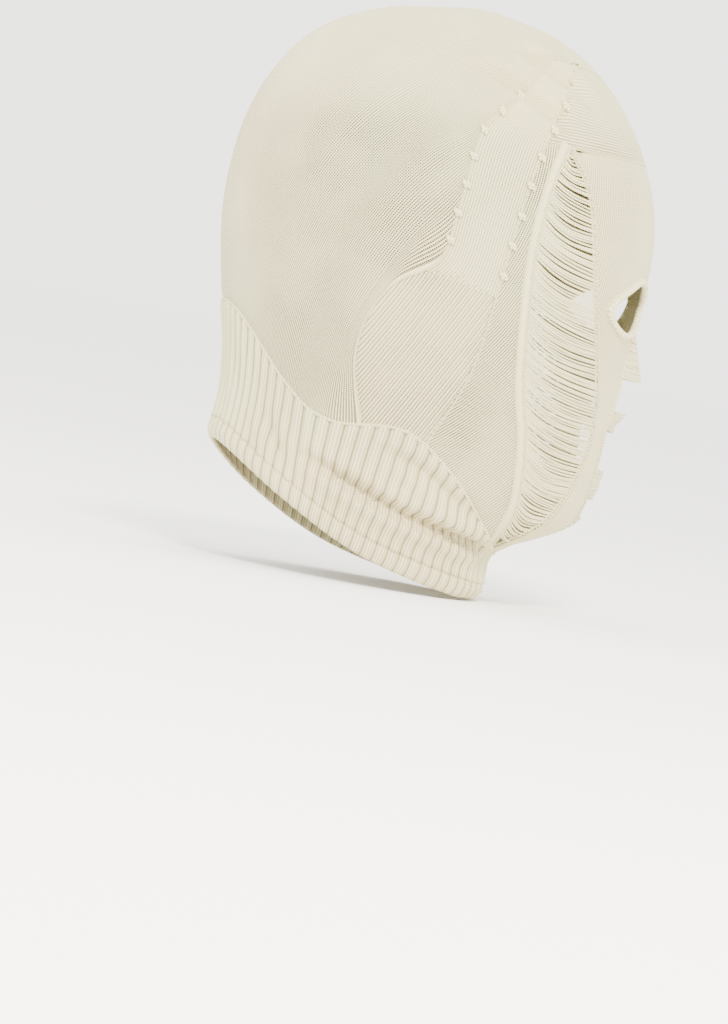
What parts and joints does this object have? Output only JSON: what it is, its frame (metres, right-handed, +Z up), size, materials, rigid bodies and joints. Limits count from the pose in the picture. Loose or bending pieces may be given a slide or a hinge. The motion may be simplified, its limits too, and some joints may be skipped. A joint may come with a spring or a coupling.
{
  "type": "full-face knitted balaclava",
  "caption": "Close knitted full-face hood in worn shape, with eye holes, side fields of loose yarns, an open yarn strip down the face and a ribbed neck.",
  "frame": {"origin": "middle of the head space, level with the eye holes", "axes": "+Z up along the wearer's head, -Y out of the face, +X to the wearer's left"},
  "size_m": [0.1604, 0.2021, 0.2704],
  "materials": {
    "plain_knit": "fine-gauge stockinette, soft matt cotton blend",
    "rib_knit": "ribbed knit, soft matt",
    "linked_edge": "linked loops and rolled edges, soft matt",
    "loose_yarn": "loose twisted yarn, soft matt"
  },
  "bodies": {
    "root": {"hood_panel": "plain_knit", "face_panel": "plain_knit", "right_cheek_panel": "plain_knit", "left_cheek_panel": "plain_knit", "right_temple_strip": "plain_knit", "left_temple_strip": "plain_knit", "neck_rib": "rib_knit", "right_ear_rib_panel": "rib_knit", "left_ear_rib_panel": "rib_knit", "neck_hem": "linked_edge", "neck_seam": "linked_edge", "forehead_seam": "linked_edge", "right_ear_seam": "linked_edge", "left_ear_seam": "linked_edge", "right_temple_seam": "linked_edge", "left_temple_seam": "linked_edge", "right_ladder_back_edge": "linked_edge", "left_ladder_back_edge": "linked_edge", "right_ladder_front_edge": "linked_edge", "left_ladder_front_edge": "linked_edge", "right_eye_edge": "linked_edge", "left_eye_edge": "linked_edge", "right_centre_edge": "linked_edge", "left_centre_edge": "linked_edge", "right_ladder_yarns": "loose_yarn", "left_ladder_yarns": "loose_yarn", "nose_bridge_yarns": "loose_yarn", "upper_lip_yarns": "loose_yarn", "lower_lip_yarns": "loose_yarn", "chin_yarns": "loose_yarn"}
  },
  "joints": []
}
